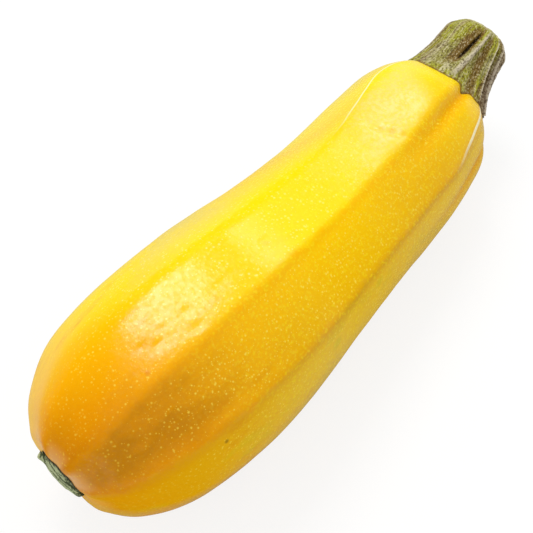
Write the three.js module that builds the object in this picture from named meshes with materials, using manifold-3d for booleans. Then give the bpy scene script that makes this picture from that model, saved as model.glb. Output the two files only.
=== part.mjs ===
// A picked yellow summer squash, lying on its side as it rests on a table.
// Millimetres, +Z up. +X runs from the blossom end to the stem, and the origin is under the middle.

import * as THREE from 'three';
import { mergeVertices } from 'three/addons/utils/BufferGeometryUtils.js';
import Module from 'manifold-3d';

const wasm = await Module();
wasm.setup();

// ---------------------------------------------------------------- driving dimensions

// The fruit at the stations that give it its shape: distance from the blossom tip, radius, how far the
// middle strays sideways, and the height of the middle above the table.
const STATIONS = [
  [1.5, 0, 0.6, 33.8],
  [1.1, 5, 0.6, 33.8],
  [0.9, 7.8, 0.5, 33.8],
  [1.4, 11.2, 0.3, 33.7],
  [3.1, 15.3, 0, 33.5],
  [10, 22.9, -0.2, 33.3],
  [24, 30, 0, 33],
  [45, 33.1, 0.1, 32],
  [70, 32.5, 0.4, 31.1],
  [98, 29.4, 1.9, 28],
  [125, 27.1, 3.7, 25.9],
  [148, 26.2, 5.8, 25.1],
  [163, 24.7, 7.7, 24.6],
  [172, 22, 8, 24.6],
  [178, 16.7, 8.2, 25],
  [180.4, 9.6, 8.5, 25.4],
  [179.8, 0, 8.8, 25.4],
];
const STEPS_PER_STATION = 3;
const FACES_PER_LOBE = 12;
// How strongly the faces crowd towards the ridges, from 0, evenly spaced, to 1.
const FACE_CROWDING = 0.6;
// Where the blossom half ends and the stem half starts.
const FRUIT_MIDDLE = 90;

// Six ridges run along the fruit, each at an angle from the top towards -Y. It drifts from one place over
// the belly to another at the stem. Angles and the widths of the crests are in degrees.
const RIDGES = [
  { belly: -18, stem: -34, drift: [118, 162], bellyCrest: 5, stemCrest: 1 },
  { belly: 21, stem: 20, drift: [118, 160], bellyCrest: 2.2, stemCrest: 6 },
  { belly: 60, stem: 51, drift: [146, 176], bellyCrest: 1.2, stemCrest: 0.8 },
  { belly: 130, stem: 122, drift: [100, 160], bellyCrest: 4, stemCrest: 5 },
  { belly: 208, stem: 212, drift: [100, 160], bellyCrest: 6, stemCrest: 6 },
  { belly: 283, stem: 288, drift: [100, 160], bellyCrest: 5, stemCrest: 5 },
];
const CREST_CHANGE = [95, 140];
const BLOSSOM_CREST = 9;
const BLOSSOM_CREST_END = 40;

// The ridges stand a little outside the plain round outline, and the facets between them are nearly flat.
// A flatness of 1 is a straight line from ridge to ridge, and no facet sinks deeper than its limit. The
// lobes die away within a small radius of the two ends.
const RIDGE_STAND = 1.1;
const FACET_DEPTH = 2.2;
const BELLY_FLATNESS = 0.75;
const STEM_FLATNESS = 0.45;
const FLATNESS_CHANGE = [120, 170];
const BLOSSOM_CALM = 13;
const STEM_CALM = 9;

// Soft valleys sink between the lobes at the stem. Angles and half widths are in degrees.
const VALLEYS = [
  { angle: 27, width: 6, depth: 1.5 },
  { angle: 90, width: 9, depth: 1.2 },
  { angle: 166, width: 10, depth: 1.5 },
  { angle: 248, width: 10, depth: 1.4 },
];
const VALLEY_GROWTH = [122, 172];

// The shoulder leans back so that the stem can rise, by this many degrees. The blossom end leans too, and
// juts out most at an angle from the top.
const SHOULDER_LEAN = 8;
const SHOULDER = [148, 178];
const BLOSSOM_LEAN = 8;
const BLOSSOM_JUTS_AT = 24;
const BLOSSOM_LEAN_END = 30;

// The stem: a woody stub with ribs and hollows, flared into a foot that reaches out in toes. The foot
// spreads most on top, where it rides up the shoulder, and starts higher up the stem underneath.
const STEM_ROOT = [174.2, 9.4, 26.8];
const STEM_LENGTH = 29.2;
const STEM_RISE = 22;
const STEM_TURN = 6;
const STEM_TOP_RADIUS = 9.9;
const STEM_FOOT_RADIUS = 19;
const STEM_FLARE = 10;
const STEM_SPREAD_ON_TOP = 0.2;
const STEM_FOOT_START = 2.5;
const STEM_FOOT_LIFT = 3;
const STEM_FOOT_LOWEST = -20;
const STEM_TOES = [
  { angle: -56, width: 16, length: 1.8 },
  { angle: 26, width: 8, length: 0.6 },
  { angle: 55, width: 8, length: 1.4 },
  { angle: 166, width: 10, length: 1 },
  { angle: 236, width: 10, length: 1.2 },
];
const STEM_TOE_FLARE = 7.5;
const STEM_CUT_ROUND = 5;
const STEM_CUT_NARROWING = 2.8;
const STEM_STEPS = 16;
const STEM_FACES = 72;

// Ribs stand out along the stem and hollows sink into it, each at an angle at the foot and at the cut.
// It grows in at a share of the stem's length.
const STEM_RELIEF = [
  { foot: -6, cut: 10, width: 4.5, height: -2.4, grows: 0.42 },
  { foot: 13, cut: 24, width: 6, height: 0.9, grows: 0.15 },
  { foot: 44, cut: 39, width: 8, height: -1.6, grows: 0.1 },
  { foot: 86, cut: 68, width: 4, height: 0.9, grows: 0 },
  { foot: 97, cut: 80, width: 4.5, height: -1.1, grows: 0.1 },
  { foot: 112, cut: 98, width: 6, height: 0.9, grows: 0 },
  { foot: -74, cut: -70, width: 9, height: 0.7, grows: 0 },
  { foot: -100, cut: -96, width: 6, height: -1.2, grows: 0.1 },
  { foot: 140, cut: 130, width: 7, height: -1.4, grows: 0.1 },
  { foot: 168, cut: 160, width: 9, height: 0.8, grows: 0 },
  { foot: 195, cut: 190, width: 6, height: -1.2, grows: 0.1 },
  { foot: 222, cut: 225, width: 9, height: 0.8, grows: 0 },
];
const STEM_RELIEF_GROWTH = 0.15;

// The blossom scar: a corky button with a ragged rim, left by the dried flower in a shallow dimple. It
// leans less than the blossom end and is wider towards the side that juts out. Its profile gives the
// distance from the blossom tip and the share of the radius, from the middle of the face to the back.
const SCAR_RADIUS = 6.4;
const SCAR_WIDER = 1.5;
const SCAR_LEAN = 4;
const SCAR_PROFILE = [
  [-1.8, 0],
  [-1.7, 0.4],
  [-1.2, 0.75],
  [-0.3, 1],
  [2.4, 0.95],
  [2.4, 0],
];
const SCAR_RAGGED = 0.4;
const SCAR_POINTS = 9;
const SCAR_FACES = 45;

const SEAM_GAP = 0.3;

// ---------------------------------------------------------------- curves and solids

const radians = THREE.MathUtils.degToRad;
const mix = THREE.MathUtils.lerp;
const ease = THREE.MathUtils.smoothstep;

/** The fruit's outline in the X and radius plane, as a smooth curve through the stations. */
const outline = new THREE.SplineCurve(STATIONS.map(([x, radius]) => new THREE.Vector2(x, radius)));
const spine = new THREE.SplineCurve(STATIONS.map(([, , side, height]) => new THREE.Vector2(side, height)));

/** 1 at an angle, falling to 0 within about two widths of it. All three are in degrees. */
function bell(angle, middle, width) {
  const away = THREE.MathUtils.euclideanModulo(angle - middle + 180, 360) - 180;
  return Math.exp(-((away / width) ** 2));
}

/** Where a ridge runs at a distance along the fruit, and how wide its crest is there. */
function ridgeAt({ belly, stem, drift, bellyCrest, stemCrest }, along) {
  const crest = mix(bellyCrest, stemCrest, ease(along, ...CREST_CHANGE));
  return {
    angle: mix(belly, stem, ease(along, ...drift)),
    crest: mix(BLOSSOM_CREST, crest, ease(along, 0, BLOSSOM_CREST_END)),
  };
}

/** The fruit's skin around one ring: angles that follow the ridges, and how far out it stands at each. */
function skinAround(along, radius) {
  const ridges = RIDGES.map((ridge) => ridgeAt(ridge, along));
  const flatness = mix(BELLY_FLATNESS, STEM_FLATNESS, ease(along, ...FLATNESS_CHANGE));
  const valleyShare = ease(along, ...VALLEY_GROWTH);
  const skin = [];
  ridges.forEach((ridge, lobe) => {
    const next = ridges[(lobe + 1) % ridges.length];
    const half = THREE.MathUtils.euclideanModulo(next.angle - ridge.angle, 360) / 2;
    const chordDepth = flatness * radius * (1 - Math.cos(radians(half)));
    const depth = FACET_DEPTH * Math.tanh(chordDepth / FACET_DEPTH);
    for (let face = 0; face < FACES_PER_LOBE; face += 1) {
      const share = face / FACES_PER_LOBE;
      const across = share - (FACE_CROWDING / (2 * Math.PI)) * Math.sin(2 * Math.PI * share);
      const away = 2 * Math.min(across, 1 - across);
      const crest = (across < 0.5 ? ridge.crest : next.crest) / half;
      const fall = (Math.hypot(away, crest) - crest) / (Math.hypot(1, crest) - crest);
      const angle = ridge.angle + 2 * half * across;
      const sunk = VALLEYS.reduce((sum, { angle: middle, width, depth: deepest }) => {
        return sum + deepest * bell(angle, middle, width);
      }, 0);
      const out = RIDGE_STAND - depth * (1 - (1 - fall) ** 2) - valleyShare * sunk;
      skin.push({ angle: radians(angle), out });
    }
  });
  return skin;
}

/** One closed solid from rings of points, with an end point before the first and after the last. */
function solidFromRings(first, rings, last) {
  const around = rings[0].length;
  const points = [first, ...rings.flat(), last];
  const faces = [];
  for (let i = 0; i < around; i += 1) {
    const next = (i + 1) % around;
    faces.push(0, 1 + next, 1 + i);
    for (let ring = 0; ring + 1 < rings.length; ring += 1) {
      const here = 1 + ring * around;
      const there = here + around;
      faces.push(here + i, here + next, there + next);
      faces.push(here + i, there + next, there + i);
    }
    const end = 1 + (rings.length - 1) * around;
    faces.push(end + i, end + next, points.length - 1);
  }
  const geometry = new THREE.BufferGeometry().setFromPoints(points);
  geometry.setIndex(faces);
  return geometry;
}

function toManifold(geometry) {
  const merged = mergeVertices(geometry);
  const vertProperties = new Float32Array(merged.attributes.position.array);
  const triVerts = new Uint32Array(merged.index.array);
  return new wasm.Manifold(new wasm.Mesh({ numProp: 3, vertProperties, triVerts }));
}

function toGeometry(manifold) {
  const { vertProperties, triVerts } = manifold.getMesh();
  const geometry = new THREE.BufferGeometry();
  geometry.setAttribute('position', new THREE.BufferAttribute(new Float32Array(vertProperties), 3));
  geometry.setIndex(new THREE.BufferAttribute(new Uint32Array(triVerts), 1));
  return geometry;
}

// ---------------------------------------------------------------- the fruit

/** The fruit's skin, moved out by `swell`. Whatever would dip under the table is pressed flat on it. */
function fruitGeometry(swell) {
  const steps = (STATIONS.length - 1) * STEPS_PER_STATION;
  const rings = [];
  for (let step = 1; step < steps; step += 1) {
    const { x: along, y: radius } = outline.getPoint(step / steps);
    const { x: side, y: height } = spine.getPoint(step / steps);
    const tangent = outline.getTangent(step / steps);
    const calm = ease(radius, 0, along < FRUIT_MIDDLE ? BLOSSOM_CALM : STEM_CALM);
    const shoulder = Math.tan(radians(SHOULDER_LEAN)) * ease(along, ...SHOULDER);
    const blossom = Math.tan(radians(BLOSSOM_LEAN)) * (1 - ease(along, 0, BLOSSOM_LEAN_END));
    const ring = skinAround(along, radius).map(({ angle, out }) => {
      const stand = swell + calm * out;
      const reach = radius + stand * tangent.x;
      const lean = blossom * Math.cos(angle - radians(BLOSSOM_JUTS_AT)) + shoulder * Math.cos(angle);
      const x = along - stand * tangent.y - reach * lean;
      const y = side - reach * Math.sin(angle);
      const z = height + reach * Math.cos(angle);
      return new THREE.Vector3(x, y, swell > 0 ? z : Math.max(z, 0));
    });
    rings.push(ring);
  }
  const blossomTip = new THREE.Vector3(STATIONS[0][0] - swell, STATIONS[0][2], STATIONS[0][3]);
  const [x, , side, height] = STATIONS.at(-1);
  return solidFromRings(blossomTip, rings, new THREE.Vector3(x + swell, side, height));
}

const fruitWithGap = toManifold(fruitGeometry(SEAM_GAP));

/** Takes the room that the fruit needs out of a piece that grows on it, less the seam's gap. */
function seatedOnFruit(geometry) {
  return toGeometry(toManifold(geometry).subtract(fruitWithGap));
}

// ---------------------------------------------------------------- the stem

/** The stem's radius at a height above its root: a straight ribbed shaft that flares into the foot. */
function stemRadius(up, angle) {
  const spread = 1 + STEM_SPREAD_ON_TOP * Math.cos(radians(angle));
  const foot = (STEM_FOOT_RADIUS - STEM_TOP_RADIUS) * Math.exp(-up / STEM_FLARE) * spread;
  const toes = STEM_TOES.reduce((sum, toe) => sum + toe.length * bell(angle, toe.angle, toe.width), 0);
  const share = up / STEM_LENGTH;
  const relief = STEM_RELIEF.reduce((sum, { foot: low, cut, width, height, grows }) => {
    const grown = ease(share, grows - STEM_RELIEF_GROWTH, grows + STEM_RELIEF_GROWTH);
    return sum + height * grown * bell(angle, mix(low, cut, share), width);
  }, 0);
  const rounding = STEM_CUT_NARROWING * Math.max(0, 1 - (STEM_LENGTH - up) / STEM_CUT_ROUND) ** 2;
  return STEM_TOP_RADIUS + foot + toes * Math.exp(-up / STEM_TOE_FLARE) + relief - rounding;
}

function stemGeometry() {
  const lean = new THREE.Matrix4().makeRotationFromEuler(
    new THREE.Euler(0, -radians(STEM_RISE), radians(STEM_TURN), 'ZYX'),
  );
  const root = new THREE.Vector3(...STEM_ROOT);
  const place = (up, side, height) => new THREE.Vector3(up, side, height).applyMatrix4(lean).add(root);
  const rings = [];
  for (let step = 0; step <= STEM_STEPS; step += 1) {
    const climb = Math.sin((Math.PI / 2) * (step / STEM_STEPS));
    const ring = [];
    for (let i = 0; i < STEM_FACES; i += 1) {
      const angle = (360 * i) / STEM_FACES;
      const lift = (1 - Math.cos(radians(angle - STEM_FOOT_LOWEST))) / 2;
      const up = mix(STEM_FOOT_START + STEM_FOOT_LIFT * lift, STEM_LENGTH, climb);
      const radius = stemRadius(up, angle);
      ring.push(place(up, -radius * Math.sin(radians(angle)), radius * Math.cos(radians(angle))));
    }
    rings.push(ring);
  }
  return solidFromRings(place(0, 0, 0), rings, place(STEM_LENGTH, 0, 0));
}

// ---------------------------------------------------------------- the blossom scar

function scarGeometry() {
  const [, , side, height] = STATIONS[0];
  const jutting = radians(BLOSSOM_JUTS_AT);
  const hinge = new THREE.Vector3(0, -Math.cos(jutting), -Math.sin(jutting));
  const place = (x, radius, angle) =>
    new THREE.Vector3(x, -radius * Math.sin(angle), radius * Math.cos(angle))
      .applyAxisAngle(hinge, radians(SCAR_LEAN))
      .add(new THREE.Vector3(0, side, height));
  const rings = SCAR_PROFILE.slice(1, -1).map(([x, share]) => {
    const ring = [];
    for (let i = 0; i < SCAR_FACES; i += 1) {
      const angle = (2 * Math.PI * i) / SCAR_FACES;
      const wider = SCAR_WIDER * ((1 + Math.cos(angle - jutting)) / 2) ** 2;
      const radius = share * (SCAR_RADIUS + wider + SCAR_RAGGED * Math.sin(SCAR_POINTS * angle));
      ring.push(place(x, radius, angle));
    }
    return ring;
  });
  return solidFromRings(place(...SCAR_PROFILE[0], 0), rings, place(...SCAR_PROFILE.at(-1), 0));
}

// ---------------------------------------------------------------- the squash

function piece(name, geometry, color, roughness) {
  const mesh = new THREE.Mesh(geometry, new THREE.MeshStandardMaterial({ color, roughness, metalness: 0 }));
  mesh.name = name;
  return mesh;
}

const squash = new THREE.Group();
squash.add(piece('squash_body', fruitGeometry(0), 0xf6c60f, 0.3));
squash.add(piece('stem', seatedOnFruit(stemGeometry()), 0x8c8a4c, 0.8));
squash.add(piece('blossom_scar', seatedOnFruit(scarGeometry()), 0x6f7a56, 0.9));

// The origin goes on the table, under the middle of the squash.
const middle = new THREE.Box3().setFromObject(squash).getCenter(new THREE.Vector3());
squash.position.set(-middle.x, -middle.y, 0);

export default squash;
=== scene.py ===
import math

import bpy
import numpy as np
from mathutils import Matrix, Vector, noise
from mathutils.bvhtree import BVHTree


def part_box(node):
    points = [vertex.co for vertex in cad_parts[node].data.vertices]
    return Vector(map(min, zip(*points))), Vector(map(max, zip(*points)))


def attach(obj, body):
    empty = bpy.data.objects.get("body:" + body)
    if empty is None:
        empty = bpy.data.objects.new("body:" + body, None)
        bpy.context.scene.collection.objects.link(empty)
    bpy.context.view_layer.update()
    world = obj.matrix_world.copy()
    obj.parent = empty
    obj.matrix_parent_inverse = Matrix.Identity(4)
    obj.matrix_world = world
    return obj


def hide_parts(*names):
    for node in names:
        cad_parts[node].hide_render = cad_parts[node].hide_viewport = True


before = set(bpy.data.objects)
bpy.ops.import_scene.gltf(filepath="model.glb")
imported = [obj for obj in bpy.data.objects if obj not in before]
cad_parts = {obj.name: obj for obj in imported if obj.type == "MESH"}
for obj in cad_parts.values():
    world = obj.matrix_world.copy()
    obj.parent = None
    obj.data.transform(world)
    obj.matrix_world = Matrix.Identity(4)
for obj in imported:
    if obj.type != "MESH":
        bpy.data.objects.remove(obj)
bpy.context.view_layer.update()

# ------------------------------------------------------------------ the fruit
# One grown piece of firm flesh in a thin waxy skin, lying on its side. Six soft ridges, left by the
# flower's ovary, run along it from the blossom end, and shallow valleys sink between them at the stem.

# All sizes are in metres, with x counted from the blossom tip. A station holds x, radius, how far the
# middle strays sideways, and its height.
FRUIT_STATIONS = [
    (0.0015, 0.0000, 0.0006, 0.0338),
    (0.0011, 0.0050, 0.0006, 0.0338),
    (0.0009, 0.0078, 0.0005, 0.0338),
    (0.0014, 0.0112, 0.0003, 0.0337),
    (0.0031, 0.0153, 0.0000, 0.0335),
    (0.0100, 0.0229, -0.0002, 0.0333),
    (0.0240, 0.0300, 0.0000, 0.0330),
    (0.0450, 0.0331, 0.0001, 0.0320),
    (0.0700, 0.0325, 0.0004, 0.0311),
    (0.0980, 0.0294, 0.0019, 0.0280),
    (0.1250, 0.0271, 0.0037, 0.0259),
    (0.1480, 0.0262, 0.0058, 0.0251),
    (0.1630, 0.0247, 0.0077, 0.0246),
    (0.1720, 0.0220, 0.0080, 0.0246),
    (0.1780, 0.0167, 0.0082, 0.0250),
    (0.1804, 0.0096, 0.0085, 0.0254),
    (0.1798, 0.0000, 0.0088, 0.0254),
]
SKIN_LENGTH = 0.180
CURVE_POINTS = 4000
RINGS = 300
FACES_PER_LOBE = 52
# How strongly the faces crowd towards the ridges, from 0, evenly spaced, to 1.
FACE_CROWDING = 0.6

# Six ridges run along the fruit, each at an angle from the top towards -Y. It drifts from one place
# over the belly to another at the stem. Angles and the widths of the crests are in degrees.
RIDGES = [
    # over the belly, at the stem, drift starts and ends, crest over the belly, crest at the stem
    (-18, -34, 0.118, 0.162, 7.0, 1.0),
    (21, 20, 0.118, 0.160, 2.2, 6.0),
    (60, 51, 0.146, 0.176, 1.2, 0.8),
    (130, 122, 0.100, 0.160, 4.0, 5.0),
    (208, 212, 0.100, 0.160, 6.0, 6.0),
    (283, 288, 0.100, 0.160, 5.0, 5.0),
]
# The ridges wander a little: length of each wave and how many degrees it swings.
RIDGE_WANDER = [(0.024, 2.4), (0.007, 0.9)]
CREST_CHANGE = (0.095, 0.140)
BLOSSOM_CREST = 9
BLOSSOM_CREST_END = 0.040

# The ridges stand a little outside the plain round outline, and the lobes between them are nearly flat. A
# flatness of 1 is a straight line from ridge to ridge, and FACET_DEPTH is the most that a lobe sinks. All of
# it dies away where the radius falls below the last two values, at the two ends.
RIDGE_STAND = 0.0011
FACET_DEPTH = 0.0022
FLATNESS_OVER_BELLY = 0.75
FLATNESS_AT_STEM = 0.45
FLATNESS_CHANGE = (0.120, 0.170)
BLOSSOM_CALM = 0.013
STEM_CALM = 0.009

# The shoulder leans back so that the stem can rise: how far, and where along the fruit it sets in. The
# blossom end leans too, and juts out most at an angle from the top.
SHOULDER_LEAN = math.tan(math.radians(8))
SHOULDER = (0.148, 0.178)
BLOSSOM_LEAN = math.radians(8)
BLOSSOM_JUTS_AT = math.radians(24)
BLOSSOM_LEAN_END = 0.030

# Soft valleys sink between the lobes at the stem: degrees from the top, half width in degrees, depth.
VALLEYS = [
    (27, 6, 0.0015),
    (90, 9, 0.0012),
    (166, 10, 0.0015),
    (248, 10, 0.0014),
]
VALLEY_GROWTH = (0.122, 0.172)

# Pressed and grown dents: x, degrees from the top, length, width in degrees, depth.
DENTS = [
    (0.0320, 2.5, 0.0020, 1.9, 0.00018),
    (0.0355, 7.5, 0.0024, 2.2, 0.00022),
    (0.0395, 3.0, 0.0018, 1.6, 0.00014),
    (0.0460, 14.0, 0.0022, 2.2, 0.00018),
    (0.0475, 5.0, 0.0022, 2.0, 0.00018),
    (0.0600, 6.0, 0.0050, 2.2, 0.00014),
    (0.0790, 3.0, 0.0022, 1.8, 0.00022),
    (0.0800, 8.0, 0.0020, 1.6, 0.00020),
    (0.1372, -7.0, 0.0015, 4.5, 0.00026),
    (0.1380, -1.0, 0.0015, 4.5, 0.00038),
    (0.1388, 5.0, 0.0016, 4.5, 0.00050),
    (0.1400, 11.0, 0.0017, 4.5, 0.00050),
    (0.1415, 17.0, 0.0017, 4.5, 0.00034),
    (0.1480, -2.0, 0.0050, 7.0, 0.00012),
    (0.0360, 50.0, 0.0050, 5.0, 0.00015),
    (0.1200, 190.0, 0.0060, 6.0, 0.00030),
    (0.0800, 285.0, 0.0050, 5.0, 0.00025),
]
# Waves in the skin: length and height. They are drawn out along the fruit, and sink below the skin by a
# share of their height.
SKIN_WAVES = [(0.020, 0.00020), (0.008, 0.00009), (0.0035, 0.00004)]
WAVES_DRAWN_OUT = 0.4
WAVES_SINK = 0.8


def ease(value, start, end):
    """0 before start, 1 after end, and a smooth step between them."""
    share = np.clip((value - start) / (end - start), 0, 1)
    return share * share * (3 - 2 * share)


def through(stations, places):
    """The smooth curve through the stations, at places counted in stations."""
    rows = np.array(stations)
    index = np.clip(places.astype(int), 0, len(rows) - 2)
    share = (places - index)[:, None]
    before, here, there, after = (rows[np.clip(index + k, 0, len(rows) - 1)] for k in (-1, 0, 1, 2))
    leaving = (there - before) / 2
    arriving = (after - here) / 2
    square = (3 * (there - here) - 2 * leaving - arriving) * share**2
    cube = (2 * (here - there) + leaving + arriving) * share**3
    return here + leaving * share + square + cube


def away_from(angle, degrees):
    """How many degrees each angle is from the given one, the short way round."""
    return np.mod(np.degrees(angle) - degrees + 180, 360) - 180


def wave(points, length, seed):
    """Smooth noise between -1 and 1 at each point, with waves of about the given length."""
    flat = points.reshape(-1, 3) / length + seed
    return np.array([noise.noise(p) for p in flat.tolist()]).reshape(points.shape[:2])


def valley_share(angle, along):
    """How deep each point lies in a valley at the stem, and how far it is sunk there."""
    share, depth = 0, 0
    for degrees, width, deepest in VALLEYS:
        shape = ease(along, *VALLEY_GROWTH) * np.exp(-((away_from(angle, degrees) / width) ** 2))
        share = share + shape
        depth = depth + deepest * shape
    return share, depth


def lobes(along, radius):
    """Angles around each ring that follow the ridges, how close each is to a ridge, and how far the skin
    stands out there from the plain round outline."""
    column = np.arange(FACES_PER_LOBE) / FACES_PER_LOBE
    across = column - FACE_CROWDING / (2 * np.pi) * np.sin(2 * np.pi * column)
    closeness = np.abs(1 - 2 * across)
    ridges, crests = [], []
    for belly, stem, start, end, soft, crisp in RIDGES:
        ridge = belly + (stem - belly) * ease(along, start, end)
        for length, swing in RIDGE_WANDER:
            places = np.stack([along, belly + 0 * along, 0 * along], axis=-1)
            ridge = ridge + swing * wave(places, length, belly)
        ridges.append(ridge)
        crest = soft + (crisp - soft) * ease(along, *CREST_CHANGE)
        crests.append(crest + (BLOSSOM_CREST - crest) * ease(along, BLOSSOM_CREST_END, 0))
    ridges.append(ridges[0] + 360)
    crests.append(crests[0])
    flatness = FLATNESS_OVER_BELLY + (FLATNESS_AT_STEM - FLATNESS_OVER_BELLY) * ease(along, *FLATNESS_CHANGE)
    angles, heights = [], []
    for lobe in range(len(RIDGES)):
        half = (ridges[lobe + 1] - ridges[lobe]) / 2
        crest = np.where(across < 0.5, crests[lobe], crests[lobe + 1]) / half
        fall = (np.hypot(1 - closeness, crest) - crest) / (np.hypot(1, crest) - crest)
        flat = flatness * radius * (1 - np.cos(np.radians(half)))
        depth = FACET_DEPTH * np.tanh(flat / FACET_DEPTH)
        angles.append(np.radians(ridges[lobe] + 2 * half * across))
        heights.append(RIDGE_STAND - depth * (1 - (1 - fall) ** 2))
    angle = np.concatenate(angles, axis=1)
    return angle, np.tile(closeness, len(RIDGES)) + 0 * angle, np.concatenate(heights, axis=1)


def closed_mesh(name, first, rings, last, attributes):
    """A closed skin over rings of points, with one point before the first ring and one after the last."""
    count, around = rings.shape[:2]
    points = np.concatenate([[first], rings.reshape(-1, 3), [last]])
    here = 1 + np.arange(count * around).reshape(count, around)
    there = np.roll(here, -1, axis=1)
    quads = np.stack([here[:-1], there[:-1], there[1:], here[1:]], axis=-1).reshape(-1, 4)
    start = [(0, int(b), int(a)) for a, b in zip(here[0], there[0])]
    end = [(int(a), int(b), len(points) - 1) for a, b in zip(here[-1], there[-1])]
    mesh = bpy.data.meshes.new(name)
    mesh.from_pydata(points.tolist(), [], start + quads.tolist() + end)
    mesh.shade_smooth()
    for key, values in attributes.items():
        ringed = values.reshape(count * around, -1)
        ends = [ring.mean(axis=0)[None] for ring in (ringed[:around], ringed[-around:])]
        whole = np.concatenate([ends[0], ringed, ends[1]])
        vector = whole.shape[1] == 3
        layer = mesh.attributes.new(key, "FLOAT_VECTOR" if vector else "FLOAT", "POINT")
        layer.data.foreach_set("vector" if vector else "value", whole.astype(np.float32).ravel())
    piece = bpy.data.objects.new(name, mesh)
    bpy.context.scene.collection.objects.link(piece)
    return piece


def fruit_surface():
    """The rings of the skin, with what the skin's material needs to know at each point."""
    fine = np.linspace(0, len(FRUIT_STATIONS) - 1, CURVE_POINTS)
    curve = through(FRUIT_STATIONS, fine)
    walked = np.concatenate([[0], np.hypot(*np.diff(curve[:, :2], axis=0).T).cumsum()])
    places = np.interp(np.linspace(0, walked[-1], RINGS + 2)[1:-1], walked, fine)
    along, radius, side, height = (column[:, None] for column in through(FRUIT_STATIONS, places).T)
    slope = np.gradient(np.hstack([along, radius]), axis=0)
    slope /= np.hypot(*slope.T)[:, None]

    angle, closeness, out = lobes(along, radius)
    valley, sunk = valley_share(angle, along)
    calm = ease(radius, 0, np.where(along < SKIN_LENGTH / 2, BLOSSOM_CALM, STEM_CALM))
    out = calm * (out - sunk)

    def place(out):
        reach = radius + out * slope[:, :1]
        shoulder = SHOULDER_LEAN * ease(along, *SHOULDER) * np.cos(angle)
        blossom = math.tan(BLOSSOM_LEAN) * ease(along, BLOSSOM_LEAN_END, 0) * np.cos(angle - BLOSSOM_JUTS_AT)
        x = along - out * slope[:, 1:] - reach * (blossom + shoulder)
        y = side - reach * np.sin(angle)
        z = height + reach * np.cos(angle)
        return np.stack([x, y, np.maximum(z, 0)], axis=-1)

    stretched = place(out) * (WAVES_DRAWN_OUT, 1, 1)
    for seed, (length, wave_height) in enumerate(SKIN_WAVES):
        out = out + wave_height * (wave(stretched, length, 3.1 + 4.6 * seed) - WAVES_SINK) * calm
    for x, degrees, length, width, depth in DENTS:
        out = out - depth * np.exp(-(((along - x) / length) ** 2) - (away_from(angle, degrees) / width) ** 2)
    facts = {
        "along": along + 0 * angle,
        "closeness": closeness,
        "valley": valley,
        "facing": np.stack([np.cos(angle), np.sin(angle), 0 * angle], axis=-1),
    }
    return place(out), facts


fruit_low, fruit_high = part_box("squash_body")
skin_rings, skin_facts = fruit_surface()
skin_low, skin_high = skin_rings.min(axis=(0, 1)), skin_rings.max(axis=(0, 1))
# From the fruit's own measure, which starts at the blossom tip, to the row frame.
to_row = np.array([
    fruit_low.x - skin_low[0],
    (fruit_low.y + fruit_high.y - skin_low[1] - skin_high[1]) / 2,
    0,
])
tip, heel = (np.array([FRUIT_STATIONS[i][k] for k in (0, 2, 3)]) + to_row for i in (0, -1))
fruit = closed_mesh("fruit", tip, skin_rings + to_row, heel, skin_facts)


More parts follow.
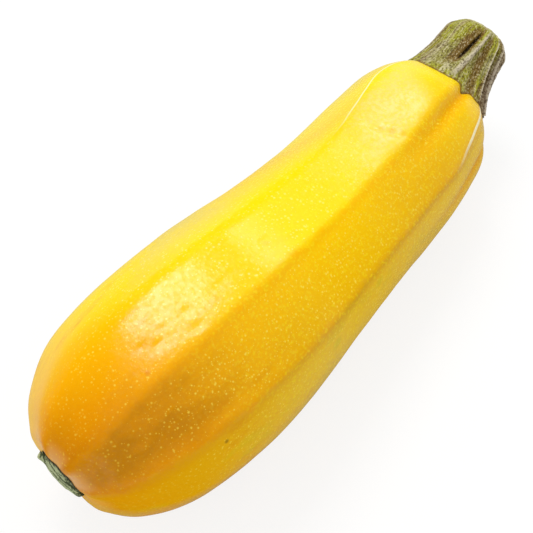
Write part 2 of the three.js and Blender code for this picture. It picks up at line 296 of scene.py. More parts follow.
class Shader:
    """A material's node tree, built by calls that each add a node or two."""

    def __init__(self, name):
        self.material = bpy.data.materials.new(name)
        self.material.use_nodes = True
        self.tree = self.material.node_tree
        self.surface = self.tree.nodes["Principled BSDF"]

    def node(self, kind, inputs=(), **settings):
        made = self.tree.nodes.new(kind)
        for key, value in settings.items():
            setattr(made, key, value)
        for key, value in dict(inputs).items():
            self.put(made.inputs[key], value)
        return made

    def put(self, socket, value):
        if isinstance(value, bpy.types.NodeSocket):
            self.tree.links.new(value, socket)
        else:
            socket.default_value = value

    def finish(self, looks):
        """Gives the surface its looks, by the names of its sockets."""
        for key, value in looks.items():
            self.put(self.surface.inputs[key], value)
        return self.material

    def fact(self, name):
        return self.node("ShaderNodeAttribute", attribute_name=name).outputs["Fac"]

    def vector_fact(self, name):
        return self.node("ShaderNodeAttribute", attribute_name=name).outputs["Vector"]

    def position(self):
        return self.node("ShaderNodeTexCoord").outputs["Object"]

    def maths(self, operation, *values):
        return self.node("ShaderNodeMath", enumerate(values), operation=operation).outputs[0]

    def times(self, product, *factors):
        for factor in factors:
            product = self.maths("MULTIPLY", product, factor)
        return product

    def line(self, value, slope, start):
        """slope times value, plus start."""
        return self.maths("MULTIPLY_ADD", value, slope, start)

    def step(self, value, start, end, low=0.0, high=1.0):
        """low where value is below start, high where it is above end, smooth between them."""
        made = self.node(
            "ShaderNodeMapRange",
            {"Value": value, "From Min": start, "From Max": end, "To Min": low, "To Max": high},
            interpolation_type="SMOOTHSTEP",
        )
        return made.outputs["Result"]

    def within(self, value, start, rise, fall, end):
        """1 from rise to fall, 0 before start and after end."""
        return self.times(self.step(value, start, rise), self.step(value, fall, end, 1, 0))

    def stretch(self, vector, scale):
        made = self.node("ShaderNodeVectorMath", {0: vector, 1: scale}, operation="MULTIPLY")
        return made.outputs["Vector"]

    def noise(self, vector, scale, detail=2.0, roughness=0.5):
        made = self.node(
            "ShaderNodeTexNoise",
            {"Vector": vector, "Scale": scale, "Detail": detail, "Roughness": roughness},
        )
        return made.outputs["Fac"]

    def dots(self, vector, scale):
        """How far the nearest of many scattered points is, as a share of the distance between them, and a
        number from 0 to 1 that each point draws."""
        made = self.node("ShaderNodeTexVoronoi", {"Vector": vector, "Scale": scale}, feature="F1")
        draws = self.node("ShaderNodeSeparateColor", {"Color": made.outputs["Color"]})
        return made.outputs["Distance"], draws.outputs[0]

    def mix(self, factor, first, second):
        made = self.node("ShaderNodeMix", {"Factor": factor}, data_type="RGBA")
        colours = [socket for socket in made.inputs if socket.type == "RGBA"]
        for socket, value in zip(colours, (first, second)):
            self.put(socket, (*value, 1) if isinstance(value, tuple) else value)
        return next(socket for socket in made.outputs if socket.type == "RGBA")

    def ramp(self, value, stops):
        made = self.node("ShaderNodeValToRGB", {"Fac": value})
        while len(made.color_ramp.elements) < len(stops):
            made.color_ramp.elements.new(0.5)
        for element, (place, colour) in zip(made.color_ramp.elements, stops):
            element.position = place
            element.color = (*colour, 1)
        return made.outputs["Color"]

    def bump(self, height, distance, strength, under=None):
        """Fine relief of the given height, on top of any relief under it."""
        made = self.node("ShaderNodeBump", {"Height": height, "Distance": distance, "Strength": strength})
        if under is not None:
            self.put(made.inputs["Normal"], under)
        return made.outputs["Normal"]


# The skin's colour by share of its length: on the sides, and on the two upper lobes.
SKIN_SIDES = [
    (0.00, (0.79, 0.280, 0.001)),
    (0.13, (0.90, 0.350, 0.001)),
    (0.22, (0.97, 0.450, 0.001)),
    (0.30, (0.98, 0.500, 0.001)),
    (0.40, (0.99, 0.560, 0.001)),
    (0.60, (1.00, 0.600, 0.001)),
    (0.80, (0.99, 0.560, 0.001)),
    (0.95, (1.00, 0.650, 0.001)),
]
SKIN_TOP = [
    (0.00, (0.70, 0.240, 0.001)),
    (0.07, (0.86, 0.330, 0.001)),
    (0.13, (0.94, 0.420, 0.001)),
    (0.20, (0.95, 0.500, 0.001)),
    (0.30, (0.95, 0.630, 0.001)),
    (0.45, (0.95, 0.710, 0.001)),
    (0.70, (0.95, 0.690, 0.001)),
    (0.86, (0.96, 0.630, 0.001)),
    (0.96, (0.97, 0.740, 0.003)),
]
# The side that lay on the ground: where it is dull, where it is riper, and where it has stayed green.
SKIN_LOWER = (0.90, 0.560, 0.012)
SKIN_LOWER_RIPE = (0.86, 0.440, 0.004)
SKIN_GREENISH = (0.76, 0.52, 0.010)
# Tones that lie over these.
# Deep orange: the skin's own in the smears, and painted shade on the ridge lines and in the valleys.
SKIN_DEEP_ORANGE_AND_SHADE = (0.78, 0.30, 0.001)
# Painted shade beside the middle ridge and towards the lower ridge.
SKIN_PAINTED_SHADE = (0.52, 0.205, 0.001)
SKIN_MOTTLE = (0.98, 0.82, 0.014)
# Painted reflection between the ridges round the scar and down the far side.
SKIN_PAINTED_REFLECTION = (0.98, 0.56, 0.200)
# Painted sheen on the shoulder.
SKIN_PAINTED_SHEEN = (0.97, 0.76, 0.230)
# Painted highlight along two ridges near the stem.
SKIN_PAINTED_HIGHLIGHT = (1.0, 0.93, 0.600)
LENTICEL = (1.0, 0.74, 0.070)
LENTICEL_ON_TOP = (1.0, 0.93, 0.240)

# Where one colour gives way to the next, in degrees from the top.
UPPER_LOBES_END = (24, 29)
LOWER_SIDE_START = (63, 68)
UNDERSIDE_START = (105, 135)
# How many degrees these borders wander.
BORDER_WANDER = 12

# Pale lenticels in three sizes: how many lie along a metre, how wide the largest are as a share of the
# distance between them, and the part of that width they have over the belly and towards the stem.
LENTICELS = [
    (460, 0.20, 0.9, 0.8),
    (680, 0.31, 0.9, 1.0),
    (1050, 0.32, 0.7, 0.6),
]
LENTICELS_CHANGE = (0.25, 0.60)

# Small blemishes, and painted shade: x, degrees from the top, half width, how strong, colour. Three of them
# in a row are painted shade that darkens the crease behind the shoulder.
BLEMISHES_AND_CREASE_SHADE = [
    (0.0280, 14, 0.0011, 0.55, (0.80, 0.240, 0.002)),
    (0.0335, 67, 0.0009, 0.80, (0.36, 0.200, 0.010)),
    (0.0790, 75, 0.0030, 0.45, (0.66, 0.520, 0.004)),
    (0.1030, 70, 0.0026, 0.40, (0.66, 0.520, 0.004)),
    (0.0790, 5, 0.0018, 0.35, (0.86, 0.500, 0.002)),
    # Painted shade in the crease behind the shoulder.
    (0.1384, 0, 0.0015, 0.45, (0.92, 0.520, 0.010)),
    (0.1397, 7, 0.0017, 0.55, (0.92, 0.500, 0.010)),
    (0.1412, 14, 0.0015, 0.45, (0.92, 0.500, 0.010)),
    (0.1200, -130, 0.0022, 0.50, (0.60, 0.380, 0.020)),
    (0.0600, 150, 0.0014, 0.60, (0.45, 0.260, 0.020)),
]
# Degrees round the body are turned into a distance at this radius.
BODY_RADIUS = 0.030

# Two ridges carry thin pale lines of painted highlight on the stem's half: the degrees from the top between
# which each shows, and the shares of the length over which it grows in.
PAINTED_RIDGE_HIGHLIGHTS = [
    ((-44, -40, -20, -14), (0.68, 0.80)),
    ((43, 46, 62, 66), (0.82, 0.92)),
]


class Skin(Shader):
    """The skin's node tree, with what all of its layers go by: along, the share of the length from the
    blossom tip, turn, the degrees from the top, closeness to a ridge, and fine patterns."""

    def __init__(self):
        super().__init__("squash_skin")
        self.spot = self.position()
        facing = self.node("ShaderNodeSeparateXYZ", {"Vector": self.vector_fact("facing")}).outputs
        self.turn = self.times(self.maths("ARCTAN2", facing["Y"], facing["X"]), 180 / math.pi)
        self.along = self.maths("DIVIDE", self.fact("along"), SKIN_LENGTH)
        self.closeness = self.fact("closeness")
        self.valley = self.fact("valley")
        self.clouds = self.noise(self.spot, 35, detail=3)
        self.patches = self.noise(self.spot, 700, detail=4, roughness=0.7)
        self.grain = self.noise(self.spot, 1100, detail=3, roughness=0.6)
        self.clouded_along = self.line(self.clouds, 0.12, self.maths("SUBTRACT", self.along, 0.06))
        self.ragged_turn = self.line(self.noise(self.spot, 190, detail=3), BORDER_WANDER, self.turn)
        self.upper = self.step(self.ragged_turn, *UPPER_LOBES_END, 1, 0)
        self.underside = self.step(self.maths("ABSOLUTE", self.ragged_turn), *UNDERSIDE_START)


def ripened(skin):
    """The two upper lobes have ripened to a clear yellow, the side below them stays orange, and the skin
    that lay on the ground is a duller, greener yellow."""
    slant = skin.step(skin.turn, -50, 0, -0.0042, -0.0024)
    on_top = skin.ramp(skin.line(skin.turn, slant, skin.clouded_along), SKIN_TOP)
    colour = skin.mix(skin.upper, skin.ramp(skin.clouded_along, SKIN_SIDES), on_top)
    lower = skin.step(skin.ragged_turn, *LOWER_SIDE_START)
    lower = skin.times(lower, skin.step(skin.along, 0.0, 0.14, 0.5, 1))
    lower = skin.maths("MAXIMUM", lower, skin.underside)
    dull = skin.mix(skin.step(skin.along, 0.08, 0.40), SKIN_LOWER_RIPE, SKIN_LOWER)
    colour = skin.mix(lower, colour, dull)
    drawn_out = skin.noise(skin.stretch(skin.spot, (0.5, 1, 1)), 90, detail=3)
    return skin.mix(skin.times(lower, skin.step(drawn_out, 0.52, 0.70, 0, 0.6)), colour, SKIN_GREENISH)


def deepened(skin, colour):
    """Painted shade makes the skin deeper orange on the lines between the lobes, most of all in the valleys
    at the stem. It is smeared deeper orange, and painted shade, broken up by the smears, darkens it beside
    the middle ridge near the blossom and across the side towards the lower ridge."""
    # Painted shade: deeper orange on the ridge lines and in the valleys at the stem.
    lines = skin.times(skin.step(skin.closeness, 0.72, 1.0), skin.step(skin.turn, -5, 15), 0.30)
    colour = skin.mix(lines, colour, SKIN_DEEP_ORANGE_AND_SHADE)
    colour = skin.mix(skin.times(skin.valley, 0.75), colour, SKIN_DEEP_ORANGE_AND_SHADE)
    smears = skin.noise(skin.stretch(skin.spot, (0.35, 1, 1)), 110, detail=4, roughness=0.6)
    # Painted shade beside the middle ridge near the blossom, broken up by the smears.
    beside_ridge = skin.within(skin.ragged_turn, 24, 34, 50, 66)
    painted_shade_by_ridge = skin.times(beside_ridge, skin.within(skin.along, 0.0, 0.02, 0.13, 0.32))
    painted_shade_by_ridge = skin.times(painted_shade_by_ridge, skin.step(smears, 0.35, 0.62, 0.36, 0.76))
    colour = skin.mix(painted_shade_by_ridge, colour, SKIN_PAINTED_SHADE)
    smear = skin.times(skin.step(smears, 0.52, 0.70), skin.step(skin.along, 0.22, 0.42, 0.5, 0.10))
    colour = skin.mix(smear, colour, SKIN_DEEP_ORANGE_AND_SHADE)
    # Painted shade across the side towards the lower ridge, stronger towards the stem.
    shade = skin.times(skin.within(skin.turn, 26, 60, 60, 66), skin.step(skin.along, 0.15, 0.45, 0, 0.22))
    return skin.mix(shade, colour, SKIN_PAINTED_SHADE)


def paled(skin, colour):
    """Painted reflection lies in peach panels between the ridges round the blossom scar and down the far
    side, and a painted cream sheen lies on the shoulder. Fine mottling shows through the wax."""
    # Painted reflection between the ridges round the blossom scar.
    painted_reflection_panel = skin.times(skin.step(skin.along, 0.004, 0.026, 1, 0), skin.step(skin.closeness, 0.45, 0.90, 1, 0))
    painted_reflection_panel = skin.times(painted_reflection_panel, skin.step(skin.turn, 55, 75, 0.55, 0.3))
    colour = skin.mix(painted_reflection_panel, colour, SKIN_PAINTED_REFLECTION)
    # Painted reflection down the far side.
    painted_reflection_far_side = skin.within(skin.turn, -120, -80, -50, -32)
    painted_reflection_far_side = skin.times(painted_reflection_far_side, skin.step(skin.along, 0.02, 0.25, 0.5, 0))
    colour = skin.mix(painted_reflection_far_side, colour, SKIN_PAINTED_REFLECTION)
    # Painted sheen on the shoulder near the stem.
    start = skin.line(skin.patches, 0.05, skin.line(skin.turn, 0.002, skin.along))
    painted_sheen = skin.within(start, 0.70, 0.80, 0.88, 0.97)
    painted_sheen = skin.times(painted_sheen, skin.within(skin.ragged_turn, -26, -14, 14, 26))
    painted_sheen = skin.times(painted_sheen, skin.step(skin.patches, 0.38, 0.62, 0.35, 0.75))
    colour = skin.mix(painted_sheen, colour, SKIN_PAINTED_SHEEN)
    mottle = skin.step(skin.grain, 0.50, 0.66)
    mottle = skin.times(mottle, skin.step(skin.clouded_along, 0.10, 0.36, 0.04, 0.36))
    return skin.mix(mottle, colour, SKIN_MOTTLE)


def speckled(skin, colour):
    """Pale lenticels are large and scattered over the belly, small and crowded towards the stem. The lines
    between the lobes have none, and neither has the top of the shoulder."""
    shown = skin.step(skin.closeness, 0.80, 0.92, 1, 0)
    shown = skin.maths("MAXIMUM", shown, skin.within(skin.turn, -40, -30, 8, 14))
    shoulder = skin.times(skin.within(skin.turn, -50, -36, 14, 24), skin.step(skin.along, 0.66, 0.78))
    shown = skin.times(shown, skin.maths("SUBTRACT", 1, shoulder), skin.step(skin.along, 0.78, 0.92, 1, 0.75))
    faded = skin.times(skin.step(skin.upper, 0, 1), skin.step(skin.along, 0.20, 0.50, 0, 0.45))
    strength = skin.times(skin.step(skin.along, 0.02, 0.26, 0.36, 0.80), skin.maths("SUBTRACT", 1, faded))
    on_top = skin.times(skin.upper, skin.step(skin.along, 0.10, 0.35))
    tint = skin.mix(on_top, LENTICEL, LENTICEL_ON_TOP)
    for count, widest, belly, stem in LENTICELS:
        distance, grown = skin.dots(skin.spot, count)
        part = skin.step(skin.along, *LENTICELS_CHANGE, belly, stem)
        width = skin.times(skin.line(grown, 0.5, 0.6), widest, part, shown)
        away = skin.maths("DIVIDE", distance, skin.maths("ADD", width, 0.001))
        colour = skin.mix(skin.step(away, 0.40, 1.05, strength, 0), colour, tint)
    return colour


# Small blemishes, and painted shade in the crease behind the shoulder.
def blemished_and_crease_shaded(skin, colour):
    for x, degrees, width, strength, tint in BLEMISHES_AND_CREASE_SHADE:
        along = skin.times(skin.maths("SUBTRACT", skin.along, x / SKIN_LENGTH), SKIN_LENGTH / width)
        beside = skin.times(skin.maths("SUBTRACT", skin.turn, degrees), math.radians(BODY_RADIUS) / width)
        away = skin.maths("SQRT", skin.line(along, along, skin.times(beside, beside)))
        away = skin.line(skin.clouds, 0.8, away)
        colour = skin.mix(skin.step(away, 0.6, 1.4, strength, 0), colour, tint)
    return colour


# Thin painted highlights along two ridges on the stem's half.
def highlighted_ridges(skin, colour):
    shown = [
        skin.times(skin.within(skin.turn, *span), skin.step(skin.along, *grows))
        for span, grows in PAINTED_RIDGE_HIGHLIGHTS
    ]
    edge = skin.step(skin.turn, 30, 40, 0.960, 0.930)
    on_ridge = skin.step(skin.closeness, edge, skin.maths("ADD", edge, 0.035))
    strength = skin.step(skin.turn, 30, 40, 0.7, 0.9)
    return skin.mix(skin.times(skin.maths("ADD", *shown), on_ridge, strength), colour, SKIN_PAINTED_HIGHLIGHT)


def waxed(skin):
    """How much the wax shines. It is thin at the blossom end, on the side that lay on the ground and in the
    valleys, and it is rubbed off the middle of the body."""
    start = skin.line(skin.turn, 0.004, skin.line(skin.patches, 0.06, skin.along))
    shine = skin.step(start, 0.135, 0.200, 0.05, 0.5)
    lower_side = skin.step(skin.along, 0.12, 0.50, 0.0, 0.4)
    top_or_stem = skin.maths("ADD", lower_side, skin.step(skin.turn, 50, 66, 1, 0))
    shine = skin.times(shine, skin.maths("MINIMUM", top_or_stem, 1))
    shine = skin.times(shine, skin.step(skin.valley, 0.1, 0.8, 1, 0.2))
    shine = skin.step(skin.underside, 0, 1, shine, 0.2)
    rubbed = skin.within(skin.line(skin.patches, 0.10, skin.along), 0.47, 0.54, 0.62, 0.80)
    return skin.times(shine, skin.line(rubbed, -0.8, 1), skin.step(skin.patches, 0.38, 0.62, 0.5, 1.3))


def skin_material():
    skin = Skin()
    colour = ripened(skin)
    for layer in (deepened, paled, speckled, blemished_and_crease_shaded, highlighted_ridges):
        colour = layer(skin, colour)
    wrinkles = skin.bump(skin.noise(skin.spot, 560), 0.0004, 0.09)
    duller = skin.step(skin.along, 0.42, 0.60, 0, 0.05)
    return skin.finish({
        "Base Color": colour,
        "Roughness": skin.maths("ADD", skin.step(skin.grain, 0.3, 0.7, 0.16, 0.24), duller),
        "IOR": 1.40,
        "Specular IOR Level": waxed(skin),
        "Normal": skin.bump(skin.grain, 0.0002, 0.22, under=wrinkles),
    })


fruit.data.materials.append(skin_material())
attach(fruit, "root")
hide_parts("squash_body")

# ------------------------------------------------------------------ the stem
# The stub of the fruit stalk, cut off with a knife: woody, ribbed lengthwise, with deep brown hollows.
# It leans up from the shoulder that it grew on, where its flared foot ends in short toes.

STEM_ROOT = (0.1742, 0.0094, 0.0268)
STEM_LENGTH = 0.0292
STEM_RISE = 22
STEM_TURN = 6
STEM_TOP_RADIUS = 0.0099
STEM_FOOT_RADIUS = 0.0190
STEM_FLARE = 0.0100
STEM_CUT_ROUND = 0.0050
STEM_CUT_NARROWING = 0.0028
STEM_RINGS = 190
STEM_FACES_AROUND = 432

# The foot reaches out in toes: degrees from the top, half width in degrees, length. It spreads most on
# top, where it rides up the shoulder.
STEM_TOES = [
    (-56, 16, 0.0018),
    (26, 8, 0.0006),
    (55, 8, 0.0014),
    (166, 10, 0.0010),
    (236, 10, 0.0012),
]
STEM_TOE_FLARE = 0.0075
STEM_SPREAD_ON_TOP = 0.2
# How far up the stem the foot ends: at the side where it reaches lowest, how much higher at the other
# side, and the angle of the low side.
STEM_FOOT_START = 0.0025
STEM_FOOT_LIFT = 0.0030
STEM_FOOT_LOWEST = -20

# Ribs and hollows: degrees from the top at the foot and at the cut, half width, height, how far up
# the stem they start and end as shares of its length.
STEM_RELIEF = [
    (-6, 21, 2.8, -0.0021, 0.50, 0.88),
    (-13, 13, 9.0, -0.0008, 0.40, 0.95),
    (7, 33, 4.5, 0.0010, 0.25, 1.0),
    (44, 39, 9.0, -0.0007, 0.1, 0.95),
    (55, 47, 1.5, 0.0005, 0.3, 1.0),
    (64, 54, 1.6, 0.0010, 0.2, 1.0),
    (71, 60, 3.0, -0.0011, 0.2, 1.0),
    (78, 64, 1.5, 0.0006, 0.0, 0.9),
    (86, 69, 1.9, 0.0013, 0.0, 1.0),
    (94, 77, 3.5, -0.0012, 0.1, 1.0),
    (101, 84, 1.6, 0.0007, 0.0, 1.0),
    (107, 92, 2.5, -0.0007, 0.1, 1.0),
    (114, 99, 2.5, 0.0009, 0.0, 1.0),
    (-30, -24, 12.0, 0.0005, 0.0, 1.0),
    (-48, -44, 4.0, -0.0005, 0.2, 0.9),
    (-74, -70, 9.0, 0.0007, 0.0, 1.0),
    (-100, -96, 6.0, -0.0012, 0.1, 1.0),
    (140, 130, 7.0, -0.0014, 0.1, 1.0),
    (168, 160, 9.0, 0.0008, 0.0, 1.0),
    (195, 190, 6.0, -0.0012, 0.1, 1.0),
    (222, 225, 9.0, 0.0008, 0.0, 1.0),
]
# Each of them fades in over this share of the length on either side of its start.
STEM_RELIEF_FADES_IN = 0.15
# From this depth a hollow is as dark with painted shade as it gets, and from this height a rib as pale.
STEM_DARK_HOLLOW = 0.0014
STEM_PALE_RIB = 0.0009
# Fibres that run along the stem: distance between them, how drawn out they are, height.
STEM_FIBRES = [(0.0030, 0.25, 0.00020), (0.0012, 0.22, 0.00020), (0.0006, 0.40, 0.00012)]

skin_points = [tuple(vertex.co) for vertex in fruit.data.vertices]
skin_faces = [tuple(polygon.vertices) for polygon in fruit.data.polygons]
skin_tree = BVHTree.FromPolygons(skin_points, skin_faces)


def height_above_skin(points):
    """How far each point is from the fruit's skin."""
    return np.array([skin_tree.find_nearest(point)[3] for point in points.reshape(-1, 3).tolist()])


def stem_surface():
    step = np.linspace(0, 1, STEM_RINGS)[:, None]
    angle = np.linspace(0, 2 * np.pi, STEM_FACES_AROUND, endpoint=False)[None, :]
    lift = (1 - np.cos(np.radians(away_from(angle, STEM_FOOT_LOWEST)))) / 2
    start = STEM_FOOT_START + STEM_FOOT_LIFT * lift
    up = start + (STEM_LENGTH - start) * np.sin(np.pi / 2 * step)
    spread = 1 + STEM_SPREAD_ON_TOP * np.cos(angle)
    foot = (STEM_FOOT_RADIUS - STEM_TOP_RADIUS) * np.exp(-up / STEM_FLARE) * spread
    for degrees, width, length in STEM_TOES:
        foot = foot + length * np.exp(-up / STEM_TOE_FLARE - (away_from(angle, degrees) / width) ** 2)
    rounding = STEM_CUT_NARROWING * np.maximum(0, 1 - (STEM_LENGTH - up) / STEM_CUT_ROUND) ** 2
    radius = STEM_TOP_RADIUS + foot - rounding

    share = up / STEM_LENGTH
    relief = np.zeros((STEM_RINGS, STEM_FACES_AROUND))
    for low, high, width, height, start, end in STEM_RELIEF:
        away = away_from(angle, low + (high - low) * share)
        shown = ease(share, start - STEM_RELIEF_FADES_IN, start + STEM_RELIEF_FADES_IN)
        shown = shown * (1 - 0.9 * ease(share, end - 0.1, end + 0.05))
        relief += height * shown * np.exp(-((away / width) ** 2))
    grain = np.stack([
        up,
        STEM_TOP_RADIUS * np.sin(angle) + 0 * up,
        STEM_TOP_RADIUS * np.cos(angle) + 0 * up,
    ], axis=-1)
    radius = radius + relief
    for seed, (length, drawn, height) in enumerate(STEM_FIBRES):
        radius = radius + height * wave(grain * (drawn, 1, 1), length, 5.0 + 4 * seed)

    turned = Matrix.Rotation(math.radians(STEM_TURN), 3, "Z")
    lean = turned @ Matrix.Rotation(-math.radians(STEM_RISE), 3, "Y")
    local = np.stack([up, -radius * np.sin(angle), radius * np.cos(angle)], axis=-1)
    root = np.array(STEM_ROOT) + to_row
    rings = local @ np.array(lean).T + root
    cut = np.array(lean @ Vector((STEM_LENGTH, 0, 0))) + root
    facts = {
        "hollow": np.clip(-relief / STEM_DARK_HOLLOW, 0, 1),
        "rib": np.clip(relief / STEM_PALE_RIB, 0, 1),
        "share": share,
        "around": np.abs(away_from(angle, 0)) + 0 * share,
        "above_skin": height_above_skin(rings),
        "grain": grain,
    }
    return root, rings, cut, facts


stem = closed_mesh("stem_stub", *stem_surface())

STEM_GREEN = (0.35, 0.345, 0.012)
STEM_GREY = (0.29, 0.265, 0.055)
STEM_STRAW = (0.68, 0.61, 0.40)
STEM_LILAC = (0.64, 0.56, 0.43)
STEM_BROWN = (0.19, 0.100, 0.012)
# The dark of dried flecks, and painted shade in the deepest hollows.
STEM_DARK_FLECK_AND_SHADE = (0.065, 0.036, 0.008)
STEM_PURPLE = (0.16, 0.080, 0.050)
# Painted shade where the foot sits on the skin.
STEM_PAINTED_CONTACT_SHADE = (0.200, 0.085, 0.003)
STEM_PITH = (0.40, 0.33, 0.17)


def bark(wood, grain, share, streaks, flecks):
    """Green-yellow near the cut and on the foot, grey-green in between, purple-brown round the side, with
    brown hollows, painted shade at their deepest, pale ribs, and pale and dark flecks where the bark has
    dried."""
    patches = wood.noise(wood.stretch(grain, (0.5, 1, 1)), 170, detail=3)
    ends = wood.maths("ADD", wood.step(share, 0.60, 0.90, 0, 0.18), wood.step(share, 0.15, 0.35, 0.16, 0))
    colour = wood.mix(wood.step(wood.maths("ADD", patches, ends), 0.45, 0.58), STEM_GREY, STEM_GREEN)
    colour = wood.mix(wood.step(streaks, 0.53, 0.64, 0, 0.60), colour, STEM_STRAW)
    colour = wood.mix(wood.step(streaks, 0.48, 0.37, 0, 0.75), colour, STEM_BROWN)
    side = wood.step(wood.line(patches, 40, wood.fact("around")), 74, 96, 0, 0.85)
    colour = wood.mix(side, colour, STEM_PURPLE)
    hollow = wood.fact("hollow")
    colour = wood.mix(wood.step(hollow, 0.05, 0.45, 0, 0.85), colour, STEM_BROWN)
    colour = wood.mix(wood.step(wood.fact("rib"), 0.30, 0.95, 0, 0.70), colour, STEM_LILAC)
    # Painted shade in the deepest hollows.
    colour = wood.mix(wood.step(hollow, 0.75, 1.0), colour, STEM_DARK_FLECK_AND_SHADE)
    colour = wood.mix(wood.step(flecks, 0.54, 0.64, 0, 0.50), colour, STEM_STRAW)
    return wood.mix(wood.step(flecks, 0.47, 0.37, 0, 0.75), colour, STEM_DARK_FLECK_AND_SHADE)


def cut_face(wood, grain, outward):
    """Dry pith: pale inside a thin green bark, and corky brown again in the middle."""
    pith = wood.mix(wood.step(wood.noise(grain, 1400, detail=3), 0.42, 0.62), STEM_PITH, STEM_STRAW)
    pith = wood.mix(wood.step(outward, 0.62, 0.86, 0, 0.55), pith, STEM_GREEN)
    return wood.mix(wood.step(outward, 0.42, 0.10, 0, 0.65), pith, STEM_BROWN)


def stem_material():
    wood = Shader("stem_wood")
    grain = wood.vector_fact("grain")
    share = wood.fact("share")
    streaks = wood.noise(wood.stretch(grain, (0.08, 1, 1)), 900, detail=3, roughness=0.6)
    flecks = wood.noise(wood.stretch(grain, (0.6, 1, 1)), 2300, detail=2, roughness=0.6)
    middle = wood.node("ShaderNodeVectorMath", {0: wood.stretch(grain, (0, 1, 1))}, operation="LENGTH")
    outward = wood.maths("DIVIDE", middle.outputs["Value"], STEM_TOP_RADIUS)
    colour = bark(wood, grain, share, streaks, flecks)
    colour = wood.mix(wood.step(outward, 0.96, 0.90), colour, cut_face(wood, grain, outward))
    # A pale rim at the cut, and a thin brown line of painted shade where the foot sits on the skin.
    colour = wood.mix(wood.step(share, 0.95, 1.0, 0, 0.5), colour, STEM_STRAW)
    colour = wood.mix(wood.step(wood.fact("above_skin"), 0.0001, 0.0006, 0.8, 0), colour, STEM_PAINTED_CONTACT_SHADE)
    return wood.finish({
        "Base Color": colour,
        "Roughness": wood.step(streaks, 0.3, 0.7, 0.50, 0.70),
        "Specular IOR Level": 0.2,
        "Normal": wood.bump(streaks, 0.0005, 0.7, under=wood.bump(flecks, 0.0004, 0.7)),
    })


stem.data.materials.append(stem_material())
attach(stem, "root")
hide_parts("stem")

# ------------------------------------------------------------------ the blossom scar
# What is left of the flower: a button of grey-green cork with a ragged rim, dried onto the tip. It leans
# less than the blossom end does, and is wider towards the side that juts out.

SCAR_RADIUS = 0.0062
SCAR_WIDER = 0.0015
SCAR_LEAN = math.radians(4)
# Its outline from the middle of the face to the back: distance from the tip and share of the radius.
SCAR_PROFILE = [
    (-0.0014, 0.0),
    (-0.0013, 0.40),
    (-0.0009, 0.75),
    (0.0000, 1.0),
    (0.0024, 0.95),
    (0.0024, 0.0),
]
# Dry points of the rim: degrees from the top, half width in degrees, length, how far they curl outward.
SCAR_POINTS = [
    (-56, 5, 0.0012, -0.0002),
    (-72, 4, 0.0015, 0.0008),
    (70, 6, 0.0006, 0.0004),
    (106, 5, 0.0011, 0.0003),
    (160, 9, 0.0005, 0.0),
    (230, 7, 0.0006, 0.0003),
]
# Unevenness of the rim, as waves round it: length as a share of the radius, height.
SCAR_RIM_WAVES = [(0.35, 0.0004), (0.10, 0.0003)]
# Strands of fibre on the face: distance between them, and the share of the height that each adds.
SCAR_STRANDS = [(0.0007, 1.0), (0.0003, 0.6)]
SCAR_STRAND_HEIGHT = 0.0003
SCAR_STRANDS_DRAWN_OUT = 0.12
# How far from the tip the face ends, and the rim behind it.
SCAR_FACE_END = 0.0005
SCAR_RIM_END = 0.0018
SCAR_RINGS = 80
SCAR_FACES_AROUND = 300


def scar_surface():
    places = np.linspace(0, len(SCAR_PROFILE) - 1, SCAR_RINGS + 2)[1:-1]
    x, share = (column[:, None] for column in through(SCAR_PROFILE, places).T)
    angle = np.linspace(0, 2 * np.pi, SCAR_FACES_AROUND, endpoint=False)[None, :]
    round_about = np.stack([np.sin(angle), np.cos(angle), 0 * angle], axis=-1)
    ragged = 0 * angle
    for seed, (length, height) in enumerate(SCAR_RIM_WAVES):
        ragged = ragged + height * wave(round_about, length, 2.0 + 2 * seed)
    curl = 0 * angle
    for degrees, width, length, outward in SCAR_POINTS:
        point = np.exp(-((away_from(angle, degrees) / width) ** 2))
        ragged = ragged + length * point
        curl = curl + outward * point
    wider = SCAR_WIDER * ((1 + np.cos(angle - BLOSSOM_JUTS_AT)) / 2) ** 2
    radius = share * (SCAR_RADIUS + wider + ragged)
    face = np.stack([x + 0 * radius, -radius * np.sin(angle), radius * np.cos(angle)], axis=-1)

    # The fibres lie level across the side that juts out.
    sine, cosine = math.sin(BLOSSOM_JUTS_AT), math.cos(BLOSSOM_JUTS_AT)
    across = face[:, :, 1] * sine - face[:, :, 2] * cosine
    lengthwise = face[:, :, 1] * cosine + face[:, :, 2] * sine
    strands = np.stack([0 * across, across, SCAR_STRANDS_DRAWN_OUT * lengthwise], axis=-1)
    fibre = 0 * across
    for seed, (length, part) in enumerate(SCAR_STRANDS):
        fibre = fibre + part * wave(strands, length, 6.0 + 2 * seed)
    face[:, :, 0] -= SCAR_STRAND_HEIGHT * np.clip(fibre, -1, 1) * (x < SCAR_FACE_END)
    face[:, :, 0] -= curl * ease(share, 0.70, 1) * (x < SCAR_RIM_END)

    tilt = np.array(Matrix.Rotation(SCAR_LEAN, 3, Vector((0, -cosine, -sine))))
    centre = np.array([0, *tip[1:]]) + (to_row[0], 0, 0)
    first, last = (tilt @ (SCAR_PROFILE[k][0], 0, 0) + centre for k in (0, -1))
    face = face @ tilt.T + centre
    return first, face, last, {"fibre": fibre, "above_skin": height_above_skin(face)}


scar = closed_mesh("flower_scar", *scar_surface())

SCAR_GREEN = (0.050, 0.075, 0.016)
SCAR_GREY = (0.50, 0.56, 0.30)
# Painted shadow where the rim sits on the fruit.
SCAR_PAINTED_SHADOW = (0.030, 0.028, 0.012)


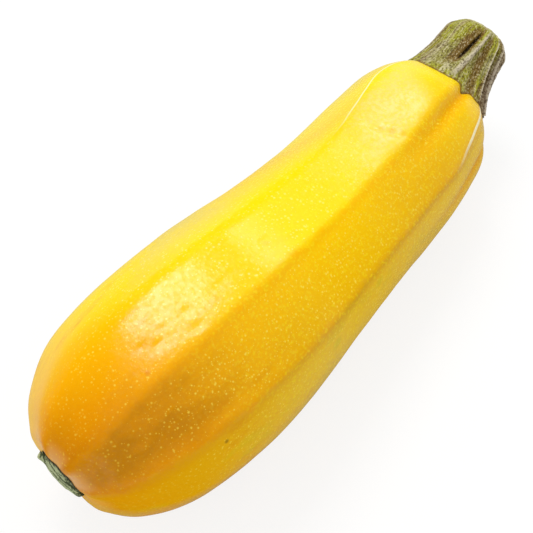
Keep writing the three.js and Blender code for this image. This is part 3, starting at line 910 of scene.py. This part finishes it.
def scar_material():
    cork = Shader("scar_cork")
    flecks = cork.noise(cork.position(), 1700, detail=3, roughness=0.6)
    strand = cork.line(flecks, 1.6, cork.maths("SUBTRACT", cork.fact("fibre"), 0.8))
    colour = cork.mix(cork.step(strand, -0.30, 0.30), SCAR_GREEN, SCAR_GREY)
    # Painted shadow where the scar sits close to the skin.
    colour = cork.mix(cork.step(cork.fact("above_skin"), 0.0002, 0.0007, 0.9, 0), colour, SCAR_PAINTED_SHADOW)
    return cork.finish({"Base Color": colour, "Roughness": 0.8, "Normal": cork.bump(flecks, 0.0003, 0.6)})


scar.data.materials.append(scar_material())
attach(scar, "root")
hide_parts("blossom_scar")

# ------------------------------------------------------------------ the table and the room
# A plain white table that keeps a soft shadow, in a pale, evenly lit room.

TABLE_HALF = 1.5
TABLE_WHITE = (1.0, 1.0, 1.0)
TABLE_WHITE_UNDER_LIGHT = (0.86, 0.86, 0.86)
TABLE_WHITE_IN_A_GLOSS = (0.4, 0.4, 0.4)
# How far the table shines white by itself, to the eye and in a gloss.
TABLE_SHINE_TO_THE_EYE = 0.82
TABLE_SHINE_IN_A_GLOSS = 0.10


def rays(shader, *kinds):
    """1 for the kinds of ray that are named, and 0 for all others."""
    path = shader.node("ShaderNodeLightPath").outputs
    named = path[kinds[0]]
    for kind in kinds[1:]:
        named = shader.maths("MAXIMUM", named, path[kind])
    return named


def table_material():
    cover = Shader("table_white")
    eye = rays(cover, "Is Camera Ray")
    gloss = rays(cover, "Is Glossy Ray", "Is Transmission Ray")
    white = cover.mix(gloss, TABLE_WHITE_UNDER_LIGHT, TABLE_WHITE_IN_A_GLOSS)
    cover.finish({
        "Base Color": cover.mix(eye, white, TABLE_WHITE),
        "Roughness": 0.9,
        "Specular IOR Level": 0,
    })
    shine = cover.line(eye, TABLE_SHINE_TO_THE_EYE, cover.times(gloss, TABLE_SHINE_IN_A_GLOSS))
    plain = cover.surface.outputs["BSDF"]
    shining = cover.node("ShaderNodeEmission").outputs["Emission"]
    both = cover.node("ShaderNodeMixShader", {"Fac": shine, 1: plain, 2: shining})
    cover.put(cover.tree.nodes["Material Output"].inputs["Surface"], both.outputs["Shader"])
    return cover.material


table_mesh = bpy.data.meshes.new("table")
corners = [(x * TABLE_HALF, y * TABLE_HALF, 0) for x, y in ((-1, -1), (1, -1), (1, 1), (-1, 1))]
table_mesh.from_pydata(corners, [], [(0, 1, 2, 3)])
table_mesh.materials.append(table_material())
table = bpy.data.objects.new("table", table_mesh)
bpy.context.scene.collection.objects.link(table)

# The light that falls in is soft and nearly even, a touch dimmer from the side where the lamps are. The
# eye sees a white room, and a gloss shows its low white backdrop with dim space above it.
ROOM_LAMP_SIDE = Vector((0.35, 0.25, 0.90)).normalized()
ROOM_LIGHT = 0.74
ROOM_LIGHT_ON_LAMP_SIDE = 0.70
BACKDROP_TOP = (0.06, 0.16)
BACKDROP_IN_A_GLOSS = 0.9
SPACE_IN_A_GLOSS = 0.02


class Room(Shader):
    """The node tree of the light that falls in from all directions."""

    def __init__(self):
        world = bpy.data.worlds.new("room")
        bpy.context.scene.world = world
        world.use_nodes = True
        self.tree = world.node_tree
        self.surface = self.tree.nodes["Background"]
        self.direction = self.node("ShaderNodeTexCoord").outputs["Generated"]

    def towards(self, axis):
        """The cosine of the angle between each direction and the axis."""
        made = self.node("ShaderNodeVectorMath", {0: self.direction, 1: axis}, operation="DOT_PRODUCT")
        return made.outputs["Value"]

    def choose(self, factor, first, second):
        """The first number where factor is 0 and the second where it is 1."""
        return self.node("ShaderNodeMix", {"Factor": factor, "A": first, "B": second}).outputs["Result"]


room = Room()
falling = room.step(room.towards(ROOM_LAMP_SIDE), -0.2, 0.9, ROOM_LIGHT, ROOM_LIGHT_ON_LAMP_SIDE)
mirrored = room.step(room.towards((0, 0, 1)), *BACKDROP_TOP, BACKDROP_IN_A_GLOSS, SPACE_IN_A_GLOSS)
unseen = room.choose(rays(room, "Is Glossy Ray", "Is Transmission Ray"), falling, mirrored)
room.put(room.surface.inputs["Strength"], room.choose(rays(room, "Is Camera Ray"), unseen, 1.0))
room.put(room.surface.inputs["Color"], (1, 1, 1, 1))

# ------------------------------------------------------------------ the lamps
# Two softboxes up on the +Y side: a long one overhead and a smaller, lower one beyond the stem.

SOFTBOXES = [
    # towards, length, width, brightness
    ((0.225, 0.420, 0.879), 0.46, 0.40, 8.8),
    ((0.715, 0.310, 0.626), 0.22, 0.40, 4.2),
]
SOFTBOX_AWAY = 1.1

for number, (towards, length, width, brightness) in enumerate(SOFTBOXES):
    lamp = bpy.data.lights.new(f"softbox_{number}", "AREA")
    lamp.shape = "RECTANGLE"
    lamp.size, lamp.size_y = length, width
    lamp.energy = brightness * math.pi * length * width
    facing = Vector(towards).normalized()
    across = facing.cross(Vector((1, 0, 0))).normalized()
    turned = Matrix((across.cross(facing), across, facing)).transposed().to_4x4()
    softbox = bpy.data.objects.new(f"softbox_{number}", lamp)
    softbox.matrix_world = Matrix.Translation(facing * SOFTBOX_AWAY) @ turned
    bpy.context.scene.collection.objects.link(softbox)

# ------------------------------------------------------------------ the camera
# It looks down on the squash from beyond the blossom end.

VIEW_AZIMUTH = math.radians(-47.78)
VIEW_ELEVATION = math.radians(56.87)
VIEW_DISTANCE = 0.3904
VIEW_LENS = 87.9
VIEW_AIM = Vector((-0.01291, 0.00544, 0.030))

view = Vector((
    math.sin(VIEW_AZIMUTH) * math.cos(VIEW_ELEVATION),
    -math.cos(VIEW_AZIMUTH) * math.cos(VIEW_ELEVATION),
    math.sin(VIEW_ELEVATION),
))
camera_data = bpy.data.cameras.new("camera")
camera_data.lens = VIEW_LENS
camera_data.sensor_width = 36
camera_data.clip_start = 0.01
camera = bpy.data.objects.new("camera", camera_data)
camera.location = VIEW_AIM + view * VIEW_DISTANCE
camera.rotation_euler = view.to_track_quat("Z", "Y").to_euler()
bpy.context.scene.collection.objects.link(camera)
bpy.context.scene.camera = camera
bpy.context.scene.view_settings.view_transform = "Standard"
